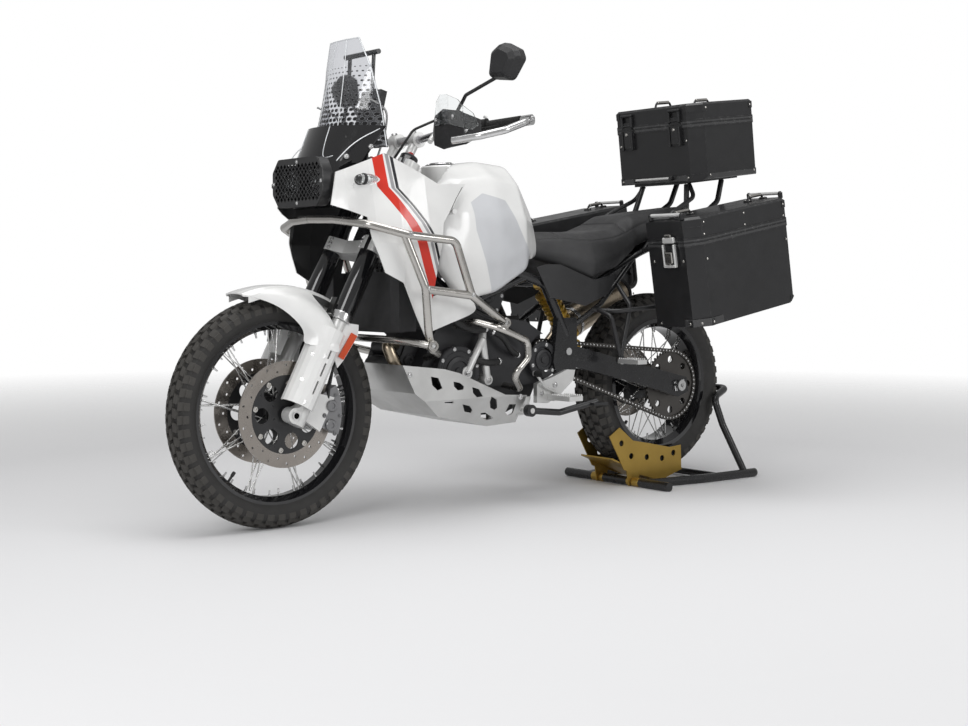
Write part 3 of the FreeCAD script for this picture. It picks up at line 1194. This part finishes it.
side_length, side_width = size("side_case_length"), size("side_case_width")
case_body, case_lid, hinge_point = case_shapes(side_length, side_width, size("side_case_height"),
                                               size("side_lid_height"), 0,
                                               ("back", size("side_case_bevel")))
side_place = FreeCAD.Placement(
    BIKE.Base + V(size("side_case_x"), size("side_case_y"), size("side_case_z")),
    FreeCAD.Rotation(V(0, 1, 0), size("side_case_tilt")))
mirror_place = FreeCAD.Placement(
    BIKE.Base + V(size("side_case_x"), -size("side_case_y"), size("side_case_z")),
    FreeCAD.Rotation(V(0, 1, 0), size("side_case_tilt")))
node("left_case", case_body, side_place)
node("left_case_lid", case_lid, side_place)
node("right_case", other_side(case_body), mirror_place)
node("right_case_lid", other_side(case_lid), mirror_place)
top_body, top_lid, top_hinge = case_shapes(size("top_case_length"), size("top_case_width"),
                                           size("top_case_height"), size("top_lid_height"),
                                           size("case_chamfer"),
                                           ("sides", size("top_case_bevel")))
top_place = FreeCAD.Placement(
    BIKE.Base + V(size("top_case_x"), -size("top_case_width") / 2, size("top_case_z")),
    FreeCAD.Rotation(V(0, 1, 0), size("top_case_tilt")))
node("top_case", top_body, top_place)
node("top_case_lid", top_lid, top_place)

# Rear suspension and drive.
arm_in, arm_t = size("arm_inner_y"), size("arm_thickness")
arm_side = [(-1020, 528), (-1055, 540), (-1110, 520), (-1400, 450), (-1650, 392), (-1662, 340),
            (-1610, 322), (-1400, 380), (-1100, 450), (-1030, 480)]
swing = []
for sign in (1, -1):
    low, high = sorted((sign * arm_in, sign * (arm_in + arm_t)))
    swing.append(side_profile(arm_side, low, high))
swing = [s.cut(frame) for s in swing]
swing.append(Part.makeCylinder(20, 2 * arm_in, pivot - V(0, arm_in, 0), V(0, 1, 0)))
swing.append(side_profile([(-1032, 522), (-1120, 512), (-1205, 498), (-1215, 470), (-1140, 446),
                           (-1034, 482)], -95, 95))
swingarm = fused(swing)
swingarm = swingarm.cut(Part.makeCylinder(pivot_bolt, 400, pivot - V(0, 200, 0), V(0, 1, 0)))
swingarm = swingarm.cut(Part.makeCylinder(size("rear_axle_outer"), 500, REAR_AXLE - V(0, 250, 0),
                                          V(0, 1, 0)))
swingarm = swingarm.cut(engine)
node("swingarm", swingarm)
pivot_shaft = rod(pivot - V(0, 170, 0), pivot + V(0, 170, 0), pivot_bolt)
axle_length = size("rear_axle_length")
rear_axle = Part.makeCylinder(size("rear_axle_outer"), axle_length,
                              REAR_AXLE - V(0, axle_length / 2, 0), V(0, 1, 0))
for y in (arm_in + arm_t, -axle_length / 2):
    rear_axle = rear_axle.fuse(Part.makeCylinder(20, axle_length / 2 - arm_in - arm_t,
                                                 REAR_AXLE + V(0, y, 0), V(0, 1, 0)))
rear_axle = rear_axle.cut(Part.makeCylinder(size("rear_axle_bore"), axle_length + 2,
                                            REAR_AXLE - V(0, axle_length / 2 + 1, 0), V(0, 1, 0)))
node("rear_axle_pivot", Part.makeCompound([rear_axle, pivot_shaft]))

shock_top, shock_low = V(-1045, 40, 732), V(-1190, 40, 520)
spring_axis = shock_low - shock_top
spring_turns, length = 7, spring_axis.Length
pitch = 0.62 * length / spring_turns
rows = [(0, 0), (17, 0), (17, 0.12 * length), (41, 0.13 * length), (41, 0.17 * length),
        (29, 0.18 * length)]
for i in range(spring_turns):
    start = 0.19 * length + pitch * i
    rows += [(31, start), (38, start + 0.25 * pitch), (38, start + 0.6 * pitch),
             (31, start + 0.85 * pitch)]
rows += [(29, 0.82 * length), (41, 0.83 * length), (41, 0.87 * length), (17, 0.88 * length),
         (17, length), (0, length)]
damper = turned(rows)
damper.Placement = FreeCAD.Placement(shock_top, FreeCAD.Rotation(V(0, 1, 0), spring_axis))
eyes = [Part.makeCylinder(20, 44, eye - V(0, 22, 0), V(0, 1, 0)) for eye in (shock_top, shock_low)]
shock = fused([damper] + eyes)
node("shock_absorber", shock.cut(swingarm).cut(frame).cut(subframe))

# Chain: side plates whose outline swells at every pin, grooved where the teeth run.
pitch_rear, pitch_front = size("sprocket_radius"), size("pinion_radius")


def chain_path():
    """Pins and plate waists in turn round both sprockets: rows of (point, outward direction)."""
    line = REAR_AXLE - pinion
    distance = V(line.x, 0, line.z).Length
    base = math.atan2(line.z, line.x)
    lean = math.acos((pitch_rear - pitch_front) / distance)
    straight = math.sqrt(distance ** 2 - (pitch_rear - pitch_front) ** 2)
    lengths = [straight, pitch_rear * 2 * (math.pi - lean), straight, pitch_front * 2 * lean]
    upper, lower = base + math.pi - lean, base - math.pi + lean
    steps = 2 * round(sum(lengths) / size("chain_pitch"))

    def ray(angle):
        return V(math.cos(angle), 0, math.sin(angle))

    rows = []
    for i in range(steps):
        run, place = 0, sum(lengths) * i / steps
        while place > lengths[run]:
            place -= lengths[run]
            run += 1
        if run in (0, 2):
            way = ray(upper if run == 0 else lower)
            near, far = pinion + way * pitch_front, REAR_AXLE + way * pitch_rear
            if run == 2:
                near, far = far, near
            point = near + (far - near) * (place / straight)
        else:
            centre, radius, start = ((REAR_AXLE, pitch_rear, upper) if run == 1
                                     else (pinion, pitch_front, lower))
            way = ray(start - place / radius)
            point = centre + way * radius
        rows.append((V(point.x, 0, point.z), way))
    return rows


def chain_wire(rows, side):
    halves = [size("chain_height") / 2, size("chain_waist") / 2]
    return polygon([point + way * (side * halves[i % 2]) for i, (point, way) in enumerate(rows)])


pins = chain_path()
half_chain = size("chain_width") / 2
chain = flat_plate([chain_wire(pins, 1), chain_wire(pins, -1)], chain_y - half_chain, chain_y + half_chain)
for centre, radius in ((REAR_AXLE, pitch_rear), (pinion, pitch_front)):
    reach = radius + size("tooth_tip") + size("tooth_gap")
    groove = half_tooth + size("tooth_gap")
    chain = chain.cut(Part.makeCylinder(reach, 2 * groove, centre + V(0, chain_y - groove, 0),
                                        V(0, 1, 0)))
pinion_gear = flat_plate([sprocket_wire(pitch_front)], chain_y - half_tooth, chain_y + half_tooth)
pinion_gear.translate(pinion)
pinion_gear = pinion_gear.fuse(rod(pinion + V(0, 95, 0), pinion + V(0, chain_y + 10, 0), 15))
node("drive_chain", Part.makeCompound([chain.cut(swingarm), pinion_gear.cut(engine)]))

caliper = turned([(95, -128), (142, -128), (142, -88), (95, -88)])
caliper = caliper.common(Part.Face(polygon([V(0, -128, 0), V(300, -128, 30), V(300, -128, 260)]))
                         .extrude(V(0, 40, 0)))
caliper = caliper.cut(turned([(60, rear_disc_y - 4.5), (136, rear_disc_y - 4.5),
                              (136, rear_disc_y + 4.5), (60, rear_disc_y + 4.5)]))
caliper.translate(REAR_AXLE)
node("rear_caliper", caliper.cut(swingarm))

# Foot controls and stand.
pegs = []
heel_line = [(-905, 404), (-977, 424), (-1040, 446), (-1077, 443), (-1068, 408), (-1000, 356),
             (-950, 336), (-905, 340)]
rider = [side_profile(heel_line, 158, 176),
         Part.makeBox(60, 92, 16, V(-1000, 205, 350)),
         Part.makeBox(36, 42, 22, V(-985, 170, 346))]
pegs.append(fused(rider).cut(engine).cut(frame))
passenger = [tube([V(-1190, 150, 652), V(-1200, 224, 622), V(-1245, 224, 480)], 8, 20),
             tube([V(-1300, 146, 734), V(-1290, 224, 660), V(-1245, 224, 480)], 8, 20),
             Part.makeBox(44, 96, 15, V(-1270, 230, 462)),
             Part.makeCylinder(14, 20, V(-1245, 214, 472), V(0, 1, 0))]
pegs.append(fused(passenger).cut(racks).cut(subframe).cut(swingarm))
shift = fused([tube([V(-985, 183, 372), V(-930, 186, 392), V(-880, 200, 440)], 5, 30),
               rod(V(-880, 190, 440), V(-880, 240, 440), 9)])
brake = fused([tube([V(-985, -183, 340), V(-930, -186, 372), V(-870, -205, 410)], 6, 30),
               rod(V(-870, -190, 410), V(-870, -245, 410), 10)])

stand_pivot = V(-862, 190, 318)
bracket = fused([side_profile([(-835, 360), (-900, 360), (-885, 300), (-840, 300)], 128, 150),
                 Part.makeCylinder(9, 62, stand_pivot - V(0, 48, 0), V(0, 1, 0))])
controls = [s for shape in pegs for s in both_sides(shape)]
controls += [shift.cut(pegs[0]), brake.cut(other_side(pegs[0])), bracket.cut(engine).cut(skid)]
node("foot_controls", Part.makeCompound(controls))
leg = fused([Part.makeCylinder(20, 22, stand_pivot - V(0, 11, 0), V(0, 1, 0)),
             tube([stand_pivot, V(-980, 205, 306), V(-1120, 238, 338)], 11, 40),
             Part.makeBox(64, 44, 9, V(-1150, 218, 326))])
leg = leg.cut(Part.makeCylinder(9 + size("running_clearance"), 100, stand_pivot - V(0, 50, 0),
                                V(0, 1, 0)))
node("side_stand", leg)

# Wheel chock.
foot_r = 16
chock = [rod(V(-1450, -265, foot_r), V(-1450, 265, foot_r), foot_r)]
for sign in (1, -1):
    chock.append(tube([V(-1450, sign * 150, foot_r), V(-1700, sign * 190, foot_r),
                       V(-1985, sign * 200, foot_r)], foot_r, 60))
    chock.append(tube([V(-1935, sign * 195, foot_r), V(-1880, sign * 130, 200),
                       V(-1860, sign * 104, 300), V(-1965, sign * 70, 330), V(-1965, 0, 330)], 13, 34))
chock.append(rod(V(-1800, -195, foot_r), V(-1800, 195, foot_r), 12))
node("chock_frame", fused(chock))
tyre_side = size("rear_width") / 2 + 6
cheek = side_profile([(-1330, 188), (-1380, 218), (-1448, 166), (-1532, 150), (-1640, 128),
                      (-1700, 132), (-1704, 40), (-1592, 8), (-1404, 62)], tyre_side, tyre_side + 4)
for x, z in ((-1390, 160), (-1440, 110), (-1520, 100), (-1600, 90), (-1660, 105)):
    cheek = cheek.cut(Part.makeCylinder(11, 40, V(x, tyre_side - 10, z), V(0, 1, 0)))


def ramp(angle, start, end):
    """Plate under the tyre, tangent to it at an angle ahead of its lowest point."""
    out = V(math.sin(angle), 0, -math.cos(angle))
    way = V(math.cos(angle), 0, math.sin(angle))
    near = REAR_AXLE + out * (size("rear_radius") + size("tyre_seat"))
    corners = [near + way * start, near + way * end, near + way * end + out * 5,
               near + way * start + out * 5]
    return side_profile([(p.x, p.z) for p in corners], -tyre_side, tyre_side)


front_ramp = ramp(math.radians(22), -112, 146)
rear_ramp = ramp(math.radians(-14), -22, 98)
ear = side_profile([(-1415, 75), (-1490, 60), (-1472, 3), (-1428, 3)], tyre_side, tyre_side + 4)
cradle = fused(both_sides(cheek.fuse(ear)) + [front_ramp, rear_ramp])
node("chock_cradle", cradle.cut(fused(chock)))

# Check and write.
doc.recompute()
for feature in doc.Objects:
    if "Invalid" in feature.State or "Error" in feature.State:
        raise RuntimeError("%s: %s" % (feature.Name, feature.State))
for feature in NODES:
    if feature.Shape.isNull() or not feature.Shape.isValid():
        raise RuntimeError("%s has no valid shape" % feature.Label)
os.makedirs("parts", exist_ok=True)
for feature in NODES:
    feature.Shape.exportStep(os.path.join("parts", feature.Label + ".step"))
    print("%-20s %2d solids %9.0f mm3" % (feature.Label, len(feature.Shape.Solids),
                                          feature.Shape.Volume))
